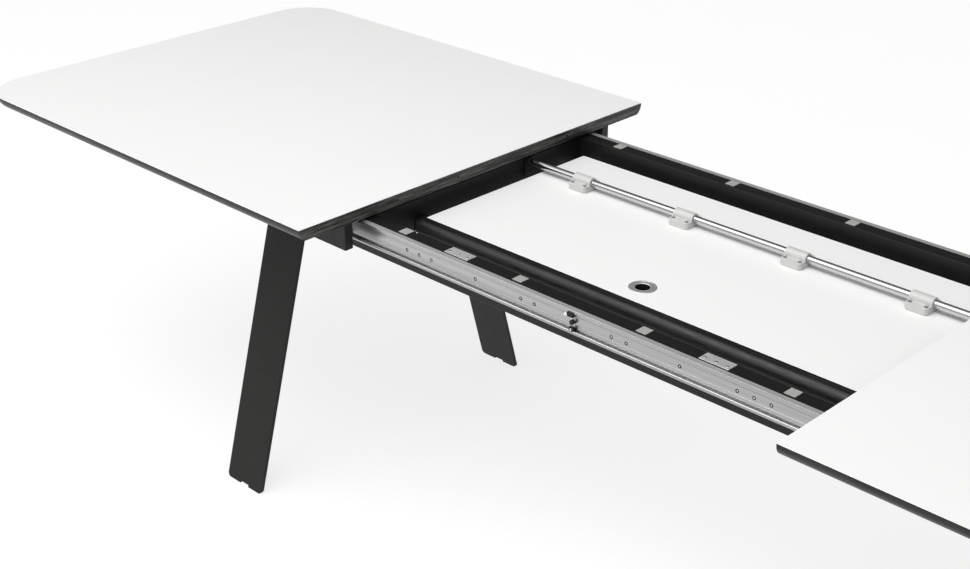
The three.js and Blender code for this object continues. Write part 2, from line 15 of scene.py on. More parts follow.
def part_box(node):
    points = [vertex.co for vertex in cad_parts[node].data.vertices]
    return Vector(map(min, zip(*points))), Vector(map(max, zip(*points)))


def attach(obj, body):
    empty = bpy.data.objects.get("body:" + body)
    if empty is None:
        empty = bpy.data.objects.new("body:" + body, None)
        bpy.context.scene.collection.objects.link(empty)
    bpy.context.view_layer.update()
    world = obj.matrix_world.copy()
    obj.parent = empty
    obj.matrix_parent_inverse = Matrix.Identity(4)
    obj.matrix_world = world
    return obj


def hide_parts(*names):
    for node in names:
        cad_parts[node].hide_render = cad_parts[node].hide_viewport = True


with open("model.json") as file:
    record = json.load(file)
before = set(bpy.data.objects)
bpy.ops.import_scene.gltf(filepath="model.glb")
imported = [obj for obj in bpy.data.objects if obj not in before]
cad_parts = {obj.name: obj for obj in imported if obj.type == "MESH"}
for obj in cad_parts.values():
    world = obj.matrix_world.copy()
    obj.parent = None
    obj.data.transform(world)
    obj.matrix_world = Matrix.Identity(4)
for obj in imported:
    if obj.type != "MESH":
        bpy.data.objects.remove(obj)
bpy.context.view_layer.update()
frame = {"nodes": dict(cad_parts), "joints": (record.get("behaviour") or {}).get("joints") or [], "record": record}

MM = 0.001
X_AXIS = Vector((1, 0, 0))
Y_AXIS = Vector((0, 1, 0))
Z_AXIS = Vector((0, 0, 1))
SIDES = (("near", -1), ("far", 1))
ENDS = (("left", -1), ("right", 1))
NODE_BODY = {
    node: body
    for body, nodes in frame["record"]["behaviour"]["bodies"].items()
    for node in nodes
}


# ---- Materials ----


class Finish:
    """A procedural material, with short forms for the nodes it is made of."""

    def __init__(self, name, color, roughness, metallic=0.0, specular=0.5):
        self.material = bpy.data.materials.new(name)
        self.material.use_nodes = True
        self.tree = self.material.node_tree
        self.shader = self.tree.nodes["Principled BSDF"]
        self.shader.inputs["Base Color"].default_value = (*color, 1)
        self.shader.inputs["Roughness"].default_value = roughness
        self.shader.inputs["Metallic"].default_value = metallic
        self.shader.inputs["Specular IOR Level"].default_value = specular
        self.place = self.tree.nodes.new("ShaderNodeTexCoord")

    def node(self, kind, **values):
        node = self.tree.nodes.new(kind)
        for key, value in values.items():
            setattr(node, key, value)
        return node

    def link(self, output, target):
        self.tree.links.new(output, target)

    def coordinates(self, stretch=(1, 1, 1), shift=(0, 0, 0)):
        mapping = self.node("ShaderNodeMapping")
        mapping.inputs["Scale"].default_value = stretch
        mapping.inputs["Location"].default_value = shift
        self.link(self.place.outputs["Object"], mapping.inputs["Vector"])
        return mapping.outputs["Vector"]

    def noise(self, scale, stretch=(1, 1, 1), detail=3.0, distortion=0.0):
        noise = self.node("ShaderNodeTexNoise")
        noise.inputs["Scale"].default_value = scale
        noise.inputs["Detail"].default_value = detail
        noise.inputs["Distortion"].default_value = distortion
        self.link(self.coordinates(stretch), noise.inputs["Vector"])
        return noise.outputs["Fac"]

    def spread(self, value, low, high, from_low=0.3, from_high=0.7):
        """A value from one range stretched over another."""
        spread = self.node("ShaderNodeMapRange")
        settings = {"From Min": from_low, "From Max": from_high, "To Min": low, "To Max": high}
        for key, number in settings.items():
            spread.inputs[key].default_value = number
        self.link(value, spread.inputs["Value"])
        return spread.outputs["Result"]

    def blend(self, factor, first, second):
        """A colour between two, or between colour outputs."""
        mix = self.node("ShaderNodeMix", data_type="RGBA")
        self.link(factor, mix.inputs["Factor"])
        for source, socket in ((first, mix.inputs["A"]), (second, mix.inputs["B"])):
            if isinstance(source, tuple):
                socket.default_value = (*source, 1)
            else:
                self.link(source, socket)
        return mix.outputs["Result"]

    def math(self, operation, first, second):
        math_node = self.node("ShaderNodeMath", operation=operation)
        for source, socket in zip((first, second), math_node.inputs):
            if isinstance(source, (int, float)):
                socket.default_value = source
            else:
                self.link(source, socket)
        return math_node.outputs["Value"]

    def bump(self, height, depth, strength=1.0):
        bump = self.node("ShaderNodeBump")
        bump.inputs["Strength"].default_value = strength
        bump.inputs["Distance"].default_value = depth
        self.link(height, bump.inputs["Height"])
        self.link(bump.outputs["Normal"], self.shader.inputs["Normal"])

    def color(self, output):
        self.link(output, self.shader.inputs["Base Color"])

    def roughness(self, output):
        self.link(output, self.shader.inputs["Roughness"])


def laminate():
    """White laminate with a fine pebbled grain."""
    finish = Finish("white_laminate", (0.86, 0.86, 0.855), 0.34, specular=0.4)
    cloud = finish.noise(7, detail=4)
    finish.color(finish.blend(cloud, (0.852, 0.852, 0.847), (0.868, 0.868, 0.863)))
    finish.roughness(finish.spread(finish.noise(60), 0.30, 0.38))
    finish.bump(finish.noise(1600, detail=2), 0.02 * MM, 0.35)
    return finish.material


def black_oak():
    """Stained oak whose grain follows each edge: across the table on its ends, else along it.

    The end faces carry painted light: a much lighter tone than the edges, so their figure shows more.
    """
    finish = Finish("black_oak", (0.02, 0.02, 0.019), 0.4, specular=0.36)
    across = finish.math("GREATER_THAN", finish.math("ABSOLUTE", normal_x(finish), 0.0), 0.6)

    def grain(fine, coarse, detail, distortion):
        along = finish.noise(1, stretch=(coarse, fine, fine), detail=detail, distortion=distortion)
        beside = finish.noise(1, stretch=(fine, coarse, fine), detail=detail, distortion=distortion)
        return finish.blend(across, along, beside)

    figure = grain(190, 9, 5, 0.9)
    pores = grain(800, 34, 2, 0.3)
    figure_fac = finish.spread(figure, 0.0, 1.0, 0.42, 0.62)
    edge_tone = finish.blend(figure_fac, (0.004, 0.004, 0.0038), (0.013, 0.0126, 0.0118))
    # Painted light: faces that look along X get a far lighter tone than the edges, with the grain figure over it.
    end_tone_painted_light = finish.blend(figure_fac, (0.009, 0.009, 0.0084), (0.1, 0.098, 0.092))
    tone = finish.blend(across, edge_tone, end_tone_painted_light)
    pore_fac = finish.spread(pores, 0.0, 0.8, 0.55, 0.72)
    finish.color(finish.blend(pore_fac, tone, (0.003, 0.003, 0.003)))
    finish.roughness(finish.spread(pores, 0.26, 0.46))
    height = finish.math("ADD", finish.spread(pores, 1.0, 0.0, 0.5, 0.7), figure)
    finish.bump(height, 0.14 * MM, 0.6)
    return finish.material


def normal_x(finish):
    """How far a face looks along X, from its own frame."""
    parts = finish.node("ShaderNodeSeparateXYZ")
    finish.link(finish.place.outputs["Normal"], parts.inputs["Vector"])
    return parts.outputs["X"]


def black_lacquer():
    """Lacquered board: a faint grain along it shows through."""
    finish = Finish("black_lacquer", (0.01, 0.01, 0.0098), 0.4, specular=0.26)
    grain = finish.noise(1, stretch=(9, 260, 260), detail=4, distortion=0.4)
    finish.color(finish.blend(grain, (0.005, 0.005, 0.0048), (0.010, 0.010, 0.0097)))
    finish.roughness(finish.spread(finish.noise(45), 0.34, 0.46))
    finish.bump(grain, 0.06 * MM, 0.5)
    return finish.material


def powder_coat():
    """Black powder coat with its fine orange-peel texture."""
    finish = Finish("leg_powder_coat", (0.013, 0.0122, 0.0112), 0.5, specular=0.25)
    cloud = finish.noise(14, detail=4)
    finish.color(finish.blend(cloud, (0.0085, 0.008, 0.0073), (0.012, 0.0113, 0.0104)))
    finish.roughness(finish.spread(finish.noise(250), 0.44, 0.6))
    finish.bump(finish.noise(1300, detail=2), 0.05 * MM, 0.6)
    return finish.material


def outward(finish):
    """1 where a face looks away from the table's middle line, across it: the faces that the aluminium paints in
    shade.
    """
    where = finish.node("ShaderNodeSeparateXYZ")
    finish.link(finish.place.outputs["Object"], where.inputs["Vector"])
    looks = finish.node("ShaderNodeSeparateXYZ")
    finish.link(finish.place.outputs["Normal"], looks.inputs["Vector"])
    away = finish.math("MULTIPLY", where.outputs["Y"], looks.outputs["Y"])
    return finish.math("GREATER_THAN", away, 0.15)


def extruded_aluminium(name, shade, painted_light_level):
    """Anodised, with draw lines along the bar; the faces that look outward get a darker tone as painted shade, the
    rest a brighter one as painted light.
    """
    finish = Finish(name, (shade, shade, shade), 0.4, metallic=1.0)
    fine = finish.noise(1, stretch=(1.5, 420, 420), detail=2)
    broad = finish.noise(1, stretch=(0.9, 110, 110), detail=3)
    streaks = finish.math("ADD", finish.math("MULTIPLY", fine, 0.45), finish.math("MULTIPLY", broad, 0.55))
    fac = finish.spread(streaks, 0.0, 1.0, 0.36, 0.64)
    # Painted shade and painted light: one tone for the outward faces, a much brighter one for the rest, with the
    # draw lines on both.
    outward_painted_shade = finish.blend(fac, (shade * 0.82,) * 3, (shade * 1.2,) * 3)
    inner_painted_light = finish.blend(fac, (painted_light_level * 0.9,) * 3, (painted_light_level,) * 3)
    side = outward(finish)
    finish.color(finish.blend(side, inner_painted_light, outward_painted_shade))
    finish.roughness(finish.spread(side, 0.5, 0.3, 0.0, 1.0))
    finish.bump(fine, 0.02 * MM, 0.5)
    return finish.material


def chrome():
    """Chrome plating, drawn out along the rod."""
    finish = Finish("chrome", (0.58, 0.585, 0.59), 0.08, metallic=1.0)
    finish.roughness(finish.spread(finish.noise(1, stretch=(4, 90, 90)), 0.05, 0.13))
    finish.bump(finish.noise(1, stretch=(1, 700, 700), detail=1), 0.004 * MM, 0.3)
    return finish.material


def moulded(name, color, roughness, specular=0.45):
    """Moulded plastic with a fine spark-eroded grain."""
    finish = Finish(name, color, roughness, specular=specular)
    lighter = tuple(min(channel * 1.06, 1.0) for channel in color)
    finish.color(finish.blend(finish.noise(40, detail=4), color, lighter))
    finish.roughness(finish.spread(finish.noise(300), roughness - 0.05, roughness + 0.06))
    finish.bump(finish.noise(1500, detail=2), 0.025 * MM, 0.5)
    return finish.material


def felt():
    """Pressed grey felt: tangled fibres in tufts."""
    finish = Finish("felt", (0.42, 0.415, 0.40), 0.95, specular=0.1)
    fibres = finish.noise(1400, detail=6, distortion=2.5)
    tufts = finish.noise(350, detail=4)
    tone = finish.blend(fibres, (0.18, 0.178, 0.17), (0.46, 0.455, 0.44))
    finish.color(finish.blend(finish.spread(tufts, 0.0, 0.35), tone, (0.34, 0.336, 0.325)))
    finish.shader.inputs["Sheen Weight"].default_value = 0.2
    finish.shader.inputs["Sheen Roughness"].default_value = 0.6
    finish.bump(fibres, 0.35 * MM, 0.8)
    return finish.material


def zinc():
    """Plated sheet with faint crystals and a brushed direction."""
    finish = Finish("zinc_plate", (0.8, 0.8, 0.79), 0.4, metallic=1.0)
    crystals = finish.node("ShaderNodeTexVoronoi")
    crystals.inputs["Scale"].default_value = 260
    finish.link(finish.coordinates(), crystals.inputs["Vector"])
    brushed = finish.noise(1, stretch=(25, 900, 900), detail=3)
    tone = finish.blend(brushed, (0.8, 0.8, 0.79), (0.96, 0.96, 0.95))
    spangle = finish.spread(crystals.outputs["Distance"], 0.0, 0.4, 0.0, 0.6)
    finish.color(finish.blend(spangle, tone, (0.78, 0.78, 0.775)))
    finish.roughness(finish.spread(brushed, 0.5, 0.62))
    finish.bump(brushed, 0.015 * MM, 0.5)
    return finish.material


def turned_steel(centre):
    """Steel faced on a lathe: fine rings round a centre."""
    finish = Finish("turned_steel", (0.5, 0.5, 0.495), 0.3, metallic=1.0)
    shifted = finish.coordinates(shift=(-centre.x, -centre.y, 0))
    flat = finish.node("ShaderNodeVectorMath", operation="MULTIPLY")
    flat.inputs[1].default_value = (1, 1, 0)
    finish.link(shifted, flat.inputs[0])
    radius = finish.node("ShaderNodeVectorMath", operation="LENGTH")
    finish.link(flat.outputs["Vector"], radius.inputs[0])
    rings = finish.node("ShaderNodeTexNoise", noise_dimensions="1D")
    rings.inputs["Scale"].default_value = 2600
    rings.inputs["Detail"].default_value = 2
    finish.link(radius.outputs["Value"], rings.inputs["W"])
    finish.color(finish.blend(rings.outputs["Fac"], (0.5, 0.5, 0.495), (0.8, 0.8, 0.79)))
    finish.roughness(finish.spread(rings.outputs["Fac"], 0.46, 0.6))
    finish.bump(rings.outputs["Fac"], 0.03 * MM, 0.6)
    return finish.material


def screw_steel(name, shade, roughness):
    """Plain fastener steel, slightly uneven."""
    finish = Finish(name, (shade, shade, shade), roughness, metallic=1.0)
    wear = finish.noise(700, detail=3)
    finish.color(finish.blend(wear, (shade * 0.8,) * 3, (shade * 1.15,) * 3))
    finish.roughness(finish.spread(wear, roughness - 0.06, roughness + 0.1))
    return finish.material


def back_board():
    """Black impregnated backing paper under the top halves."""
    finish = Finish("backing_paper", (0.03, 0.029, 0.028), 0.7, specular=0.25)
    mottle = finish.noise(120, detail=6)
    finish.color(finish.blend(mottle, (0.024, 0.023, 0.022), (0.038, 0.037, 0.035)))
    finish.bump(finish.noise(900), 0.03 * MM, 0.5)
    return finish.material


PULL_LOW, PULL_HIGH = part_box("finger_pull_ring")
PULL_CENTRE = (PULL_LOW + PULL_HIGH) / 2

LAMINATE = laminate()
OAK = black_oak()
LACQUER = black_lacquer()
POWDER = powder_coat()
SLIDE = extruded_aluminium("slide_aluminium", 0.41, 0.95)
RUNNER = extruded_aluminium("runner_aluminium", 0.42, 0.7)
CHROME = chrome()
CLIP_WHITE = moulded("clip_plastic", (0.53, 0.526, 0.517), 0.36)
BLACK_PLASTIC = moulded("black_plastic", (0.007, 0.007, 0.007), 0.45, specular=0.3)
FELT = felt()
ZINC = zinc()
TURNED = turned_steel(PULL_CENTRE)
DARK_SCREW = screw_steel("dark_screw", 0.05, 0.38)
SOCKET_METAL = screw_steel("socket_metal", 0.22, 0.3)
BRIGHT_SCREW = screw_steel("bright_screw", 0.75, 0.2)
BACKING = back_board()


# ---- Mesh building ----


def arc(centre_u, centre_v, radius, start, end, steps):
    """Points along an arc, both ends included, with angles in degrees."""
    angles = [math.radians(start + (end - start) * step / steps) for step in range(steps + 1)]
    return [
        (centre_u + radius * math.cos(angle), centre_v + radius * math.sin(angle))
        for angle in angles
    ]


def stand(point, axis, along):
    """A flat outline's point set at a distance along an axis: (Y, Z), (X, Z) or (X, Y)."""
    u, v = point
    return {"X": (along, u, v), "Y": (u, along, v), "Z": (u, v, along)}[axis]


def prism(outline, axis, start, end):
    """A bar of the given outline between two places on an axis."""
    shape = bmesh.new()
    caps = [[shape.verts.new(stand(p, axis, along)) for p in outline] for along in (start, end)]
    for cap in caps:
        shape.faces.new(cap)
    for i in range(len(outline)):
        j = (i + 1) % len(outline)
        shape.faces.new((caps[0][i], caps[0][j], caps[1][j], caps[1][i]))
    bmesh.ops.recalc_face_normals(shape, faces=shape.faces)
    return shape


def loft(rings):
    """A closed solid through rings of points, each ring as long as the others."""
    shape = bmesh.new()
    rows = [[shape.verts.new(point) for point in ring] for ring in rings]
    shape.faces.new(rows[0])
    shape.faces.new(rows[-1])
    for low, high in zip(rows, rows[1:]):
        for i in range(len(low)):
            j = (i + 1) % len(low)
            shape.faces.new((low[i], low[j], high[j], high[i]))
    bmesh.ops.recalc_face_normals(shape, faces=shape.faces)
    return shape


def lathe(profile, steps=48):
    """A solid turned round Z. The profile is (radius, height) pairs that start and end on the
    axis, or else go all the way round a ring's section."""
    shape = bmesh.new()
    on_axis = profile[0][0] == 0
    rows = []
    for radius, height in profile:
        if radius == 0:
            rows.append([shape.verts.new((0, 0, height))])
        else:
            turn = [2 * math.pi * step / steps for step in range(steps)]
            ring = [(radius * math.cos(a), radius * math.sin(a), height) for a in turn]
            rows.append([shape.verts.new(point) for point in ring])
    pairs = list(zip(rows, rows[1:]))
    if not on_axis:
        pairs.append((rows[-1], rows[0]))
    for low, high in pairs:
        for i in range(steps):
            j = (i + 1) % steps
            corners = [low[i % len(low)], low[j % len(low)], high[j % len(high)], high[i % len(high)]]
            shape.faces.new(list(dict.fromkeys(corners)))
    bmesh.ops.recalc_face_normals(shape, faces=shape.faces)
    return shape


def bevel(shape, width, segments=2, angle=30):
    """Rounds the edges that are sharper than an angle."""
    limit = math.radians(angle)
    edges = [e for e in shape.edges if len(e.link_faces) == 2 and e.calc_face_angle() > limit]
    bmesh.ops.bevel(
        shape, geom=edges, offset=width, segments=segments, profile=0.5,
        affect="EDGES", clamp_overlap=True,
    )
    return shape


def box_shape(low, high):
    """A block between two corners, for carving and for shapes that are rounded afterwards."""
    outline = [(low[0], low[1]), (high[0], low[1]), (high[0], high[1]), (low[0], high[1])]
    return prism(outline, "Z", low[2], high[2])


def to_mesh(name, shape):
    """A mesh with the shape's faces. The shape is used up."""
    mesh = bpy.data.meshes.new(name)
    shape.to_mesh(mesh)
    shape.free()
    return mesh


def turned(shape, matrix):
    """The same shape, moved or turned by a matrix."""
    bmesh.ops.transform(shape, matrix=matrix, verts=shape.verts)
    return shape


def joined(shapes):
    """One mesh that holds several separate shapes."""
    whole = bmesh.new()
    for shape in shapes:
        mesh = to_mesh("part", shape)
        whole.from_mesh(mesh)
        bpy.data.meshes.remove(mesh)
    return whole


def carve(shape, tool, operation="DIFFERENCE"):
    """Cuts one shape with another, or keeps what they share."""
    objects = []
    for role, source in (("work", shape), ("tool", tool)):
        item = bpy.data.objects.new(role, to_mesh(role, source))
        bpy.context.scene.collection.objects.link(item)
        objects.append(item)
    work, cutter = objects
    boolean = work.modifiers.new("cut", "BOOLEAN")
    boolean.operation = operation
    boolean.solver = "EXACT"
    boolean.object = cutter
    graph = bpy.context.evaluated_depsgraph_get()
    result = bmesh.new()
    result.from_mesh(work.evaluated_get(graph).to_mesh())
    for item in objects:
        mesh = item.data
        bpy.data.objects.remove(item)
        bpy.data.meshes.remove(mesh)
    bmesh.ops.remove_doubles(result, verts=result.verts, dist=0.002 * MM)
    bmesh.ops.dissolve_limit(
        result, angle_limit=math.radians(0.5), verts=result.verts, edges=result.edges
    )
    return result


def piece(name, shape, body, material, replaces=(), smooth=38):
    """A finished object from a shape: shaded, riding on its body, with its material."""
    mesh = to_mesh(name, shape)
    mesh.materials.append(material)
    mesh.polygons.foreach_set("use_smooth", [True] * len(mesh.polygons))
    mesh.set_sharp_from_angle(angle=math.radians(smooth))
    made = bpy.data.objects.new(name, mesh)
    bpy.context.scene.collection.objects.link(made)
    weighted = made.modifiers.new("flat_faces", "WEIGHTED_NORMAL")
    weighted.keep_sharp = True
    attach(made, body)
    if replaces:
        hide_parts(*replaces)
    return made


def dress(node, material, width=0.0, segments=2):
    """Gives a CAD node its material, and soft edges by modifiers on top of its own mesh."""
    made = frame["nodes"][node]
    made.data.materials.clear()
    made.data.materials.append(material)
    if not width:
        return
    weld = made.modifiers.new("weld", "WELD")
    weld.merge_threshold = 0.005 * MM
    flatten = made.modifiers.new("flatten", "DECIMATE")
    flatten.decimate_type = "DISSOLVE"
    flatten.angle_limit = math.radians(0.5)
    rounding = made.modifiers.new("round", "BEVEL")
    rounding.width = width
    rounding.segments = segments
    rounding.limit_method = "ANGLE"
    rounding.angle_limit = math.radians(30)
    made.data.polygons.foreach_set("use_smooth", [True] * len(made.data.polygons))
    weighted = made.modifiers.new("flat_faces", "WEIGHTED_NORMAL")
    weighted.keep_sharp = True


# ---- Screws ----


def screw_head(radius, rise):
    """A raised head standing on Z = 0, with a cross recess."""
    dome = [(0, -0.3 * MM), (radius, -0.3 * MM), (radius, 0.25 * rise)]
    dome += [
        (radius * math.cos(math.radians(angle)), rise * (0.25 + 0.75 * math.sin(math.radians(angle))))
        for angle in (25, 50, 70)
    ]
    head = lathe([*dome, (0, rise)], steps=20)
    arm = 0.62 * radius
    half = 0.13 * radius
    floor = 0.25 * rise
    outline = [
        (half, half), (half, arm), (-half, arm), (-half, half), (-arm, half), (-arm, -half),
        (-half, -half), (-half, -arm), (half, -arm), (half, -half), (arm, -half), (arm, half),
    ]
    return carve(head, prism(outline, "Z", floor, 2 * rise))


def hex_head(radius, height):
    """A six-sided head standing on Z = 0, its corners eased."""
    shape = prism(arc(0, 0, radius, 0, 300, 5), "Z", 0, height)
    return bevel(shape, 0.12 * radius, 2, 20)


def fasteners(name, template, places, facing, body, material):
    """Copies of one fastener, all facing the same way, as one piece."""
    turn = facing.to_track_quat("Z", "Y").to_matrix().to_4x4()
    source = to_mesh(name + "_template", template)
    whole = bmesh.new()
    for number, place in enumerate(places):
        copy = bmesh.new()
        copy.from_mesh(source)
        spin = Matrix.Rotation(math.radians(37 * number), 4, "Z")
        turned(copy, Matrix.Translation(place) @ turn @ spin)
        mesh = to_mesh("copy", copy)
        whole.from_mesh(mesh)
        bpy.data.meshes.remove(mesh)
    bpy.data.meshes.remove(source)
    return piece(name, whole, body, material)


# ---- Top halves ----

CORNER_RADIUS = 110 * MM
EDGE_FLAT = 3 * MM
EDGE_INSET = 15 * MM
EDGE_STEPS = 16
SOCKET_YS = [side * y * MM for y in (83, 250, 416, 453) for side in (-1, 1)]
SOCKET_DEPTH = 13 * MM
BUSH_HOLE = 2.5 * MM
BUSH_RADIUS = 3.3 * MM
BUSH_LENGTH = 12 * MM
PIN_LENGTH = 9 * MM
UNDER_INSET = EDGE_INSET + 4 * MM
BACKING_THICKNESS = 0.3 * MM

board_low, board_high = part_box("right_top_board")
sheet_low, sheet_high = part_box("right_top_sheet")
BOARD_THICKNESS = sheet_high.z - board_low.z
SHEET_THICKNESS = sheet_high.z - sheet_low.z
TOP_Z = sheet_high.z
PART_X = board_low.x
TOP_END_X = board_high.x
TOP_SIDE_Y = board_high.y


def edge_inset(depth):
    """How far the edge lies inside its outline at a depth: straight, then curving under."""
    drop = BOARD_THICKNESS - EDGE_FLAT
    radius = (drop**2 + EDGE_INSET**2) / (2 * EDGE_INSET)
    below = max(depth - EDGE_FLAT, 0)
    return radius - math.sqrt(radius**2 - below**2)


def edge_depths(first):
    """A first depth, then even steps from where the edge starts to curve down to the back."""
    drop = BOARD_THICKNESS - EDGE_FLAT
    return [first] + [EDGE_FLAT + drop * step / EDGE_STEPS for step in range(EDGE_STEPS + 1)]


def top_ring(inset, z, part_inset=0.0):
    """The right half's outline at one height: two round corners, and a straight parting edge."""
    start = PART_X + part_inset
    end = TOP_END_X - inset
    side = TOP_SIDE_Y - inset
    radius = CORNER_RADIUS - inset
    outline = [
        (start, -side),
        *arc(end - radius, radius - side, radius, -90, 0, 20),
        *arc(end - radius, side - radius, radius, 0, 90, 20),
        (start, side),
    ]
    return [(x, y, z) for x, y in outline]


def facing(end):
    """The turn that takes a right-hand shape to the named end."""
    return Matrix.Rotation(0 if end > 0 else math.pi, 4, "Z")


def top_board(end):
    """A half's board with its undercut edge, and holes for the sockets in the parting face."""
    rings = [top_ring(edge_inset(d), TOP_Z - d) for d in reversed(edge_depths(SHEET_THICKNESS))]
    board = loft(rings)
    sockets = [
        prism(arc(y, TOP_Z - SOCKET_DEPTH, BUSH_RADIUS, 0, 345, 23), "X", PART_X - MM, PART_X + 20 * MM)
        for y in SOCKET_YS
    ]
    return turned(carve(board, joined(sockets)), facing(end))


def top_sheet(end):
    """A half's laminate sheet, its upper edge eased."""
    ease = 0.35 * MM
    levels = [
        (0, 0),
        (SHEET_THICKNESS - ease, 0),
        (SHEET_THICKNESS - 0.3 * ease, 0.3 * ease),
        (SHEET_THICKNESS, ease),
    ]
    rings = [top_ring(inset, TOP_Z - SHEET_THICKNESS + rise, inset) for rise, inset in levels]
    return turned(loft(rings), facing(end))


def bushes(start, ys, z, length, direction):
    """Metal bushes let into an end face at X = start, their thin flanges just proud of it."""
    flange = 0.2 * MM
    section = [
        (BUSH_HOLE, -length), (BUSH_RADIUS - 0.1 * MM, -length), (BUSH_RADIUS - 0.1 * MM, 0),
        (BUSH_RADIUS, 0), (BUSH_RADIUS, 0.6 * flange), (BUSH_RADIUS - 0.3 * MM, flange),
        (BUSH_HOLE + 0.3 * MM, flange), (BUSH_HOLE, 0.4 * flange),
    ]
    turn = Matrix.Rotation(math.radians(90 * direction), 4, "Y")
    return joined([turned(lathe(section, 24), Matrix.Translation((start, y, z)) @ turn) for y in ys])


def pins(start, ys, z, length, direction):
    """Dowel pins let 6 mm into an end face at X = start, with a tapered tip."""
    radius = BUSH_HOLE - 0.3 * MM
    root = -6 * MM
    taper = 1.5 * MM
    profile = [(0, root), (radius, root), (radius, length - taper), (0.55 * radius, length), (0, length)]
    turn = Matrix.Rotation(math.radians(90 * direction), 4, "Y")
    return joined([turned(lathe(profile, 20), Matrix.Translation((start, y, z)) @ turn) for y in ys])


for end_name, end in ENDS:
    body = f"{end_name}_top"
    piece(f"{end_name}_board_edged", top_board(end), body, OAK, [f"{end_name}_top_board"])
    piece(f"{end_name}_surface", top_sheet(end), body, LAMINATE, [f"{end_name}_top_sheet"])
    under = loft([
        top_ring(UNDER_INSET, board_low.z - BACKING_THICKNESS, UNDER_INSET),
        top_ring(UNDER_INSET, board_low.z, UNDER_INSET),
    ])
    piece(f"{end_name}_backing", turned(under, facing(end)), body, BACKING)
    socket_z = TOP_Z - SOCKET_DEPTH
    piece(
        f"{end_name}_bushes", bushes(end * PART_X, SOCKET_YS, socket_z, BUSH_LENGTH, -end),
        body, SOCKET_METAL,
    )
    for side_name, _ in SIDES:
        dress(f"{end_name}_apron_{side_name}", LACQUER, 1.2 * MM, 3)
        dress(f"{end_name}_runner_{side_name}", RUNNER, 0.4 * MM)

# Dowel pins stand out of the right half's sockets, all but the outermost ones.
outermost = max(SOCKET_YS)
dowel_ys = [y for y in SOCKET_YS if abs(y) < outermost]
piece(
    "right_dowels", pins(PART_X, dowel_ys, TOP_Z - SOCKET_DEPTH, PIN_LENGTH, -1),
    "right_top", BRIGHT_SCREW,
)

# ---- Slides ----

channel_low, channel_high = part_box("slide_channel_far")
SLIDE_WALL = 2 * MM
SLIDE_WEB = 6 * MM
SLIDE_LIP = 6 * MM
GROOVE_DEPTH = 0.4 * MM
GROOVE_WIDTH = 1 * MM
GROOVES = [12.5 * MM, 30 * MM]
SCREW_XS = [sign * x * MM for x in (89, 122, 236, 352, 385, 418, 700, 860) for sign in (-1, 1)]


def channel_outline(side):
    """The slide's section: a grooved web, a beaded lower lip and a rounded upper one."""
    back, mouth = channel_low.y, channel_high.y
    bottom, top = channel_low.z, channel_high.z
    web = back + SLIDE_WEB
    lip = mouth - SLIDE_WALL
    low_lip = [(mouth, bottom + 2.4 * MM), (mouth - MM, bottom + 2.7 * MM), (mouth - MM, bottom + 3.3 * MM)]
    low_lip += arc(mouth - 0.5 * MM, bottom + SLIDE_LIP - 1.6 * MM, 2 * MM, -30, 180, 9)
    face = [(lip, bottom + SLIDE_WALL), (web + 1.2 * MM, bottom + SLIDE_WALL)]
    face += arc(web + 1.2 * MM, bottom + SLIDE_WALL + 1.2 * MM, 1.2 * MM, 270, 180, 3)
    for down in reversed(GROOVES):
        z = top - down
        half = GROOVE_WIDTH / 2
        face += [(web, z - half), (web - GROOVE_DEPTH, z - 0.4 * half)]
        face += [(web - GROOVE_DEPTH, z + 0.4 * half), (web, z + half)]
    face += [(web, top - SLIDE_WALL), (lip, top - SLIDE_WALL)]
    high_lip = arc(mouth - SLIDE_WALL / 2, top - SLIDE_LIP + MM, SLIDE_WALL / 2, 200, 340, 5)
    corner = 0.7 * MM
    outline = [(back, bottom), *arc(mouth - corner, bottom + corner, corner, 270, 360, 3)]
    outline += [*low_lip, *face, *high_lip]
    outline += [*arc(mouth - corner, top - corner, corner, 0, 90, 3), (back, top)]
    return [(side * y, z) for y, z in outline]


web_y = channel_low.y + SLIDE_WEB
screw_z = (channel_low.z + channel_high.z) / 2
stop_low, stop_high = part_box("slide_stop_far")
SHADE_DISC_RADIUS = 3.6 * MM
HOOD_LENGTH = 15 * MM
HOOD_HEIGHT = 10 * MM
STOP_FOOT_LENGTH = 11 * MM
STOP_FOOT_HEIGHT = 9 * MM
BUFFER_RADIUS = 4.6 * MM


def on_side(shape, side):
    """A far-side shape as it is for side 1, or mirrored to the near side for side -1."""
    turned(shape, Matrix.Diagonal((1, side, 1, 1)))
    bmesh.ops.recalc_face_normals(shape, faces=shape.faces)
    return shape


def facing_out(profile, x, z, steps=24):
    """A turned shape whose axis points out of the far slide."""
    lie = Matrix.Rotation(math.radians(-90), 4, "X")
    return turned(lathe(profile, steps), Matrix.Translation((x, 0, z)) @ lie)


def stop_rubber():
    """The stop's black parts: a hood over its bolt, a round buffer, and a foot on the lower lip."""
    mouth = channel_high.y
    top, bottom = stop_high.z, stop_low.z
    right = stop_high.x
    hood_low = top - HOOD_HEIGHT
    foot_high = bottom + STOP_FOOT_HEIGHT
    hood = box_shape((right - HOOD_LENGTH, web_y, hood_low), (right, mouth + 3 * MM, top))
    foot = box_shape((right - STOP_FOOT_LENGTH, web_y, bottom), (right, mouth + MM, foot_high))
    reach = mouth + 2 * MM
    buffer = [
        (0, web_y), (BUFFER_RADIUS, web_y), (BUFFER_RADIUS, reach - MM),
        (BUFFER_RADIUS - 0.8 * MM, reach), (0, reach),
    ]
    round_buffer = facing_out(buffer, right - BUFFER_RADIUS, (hood_low + foot_high) / 2)
    return joined([bevel(hood, 2.4 * MM, 4), bevel(foot, 1.2 * MM, 3), round_buffer])


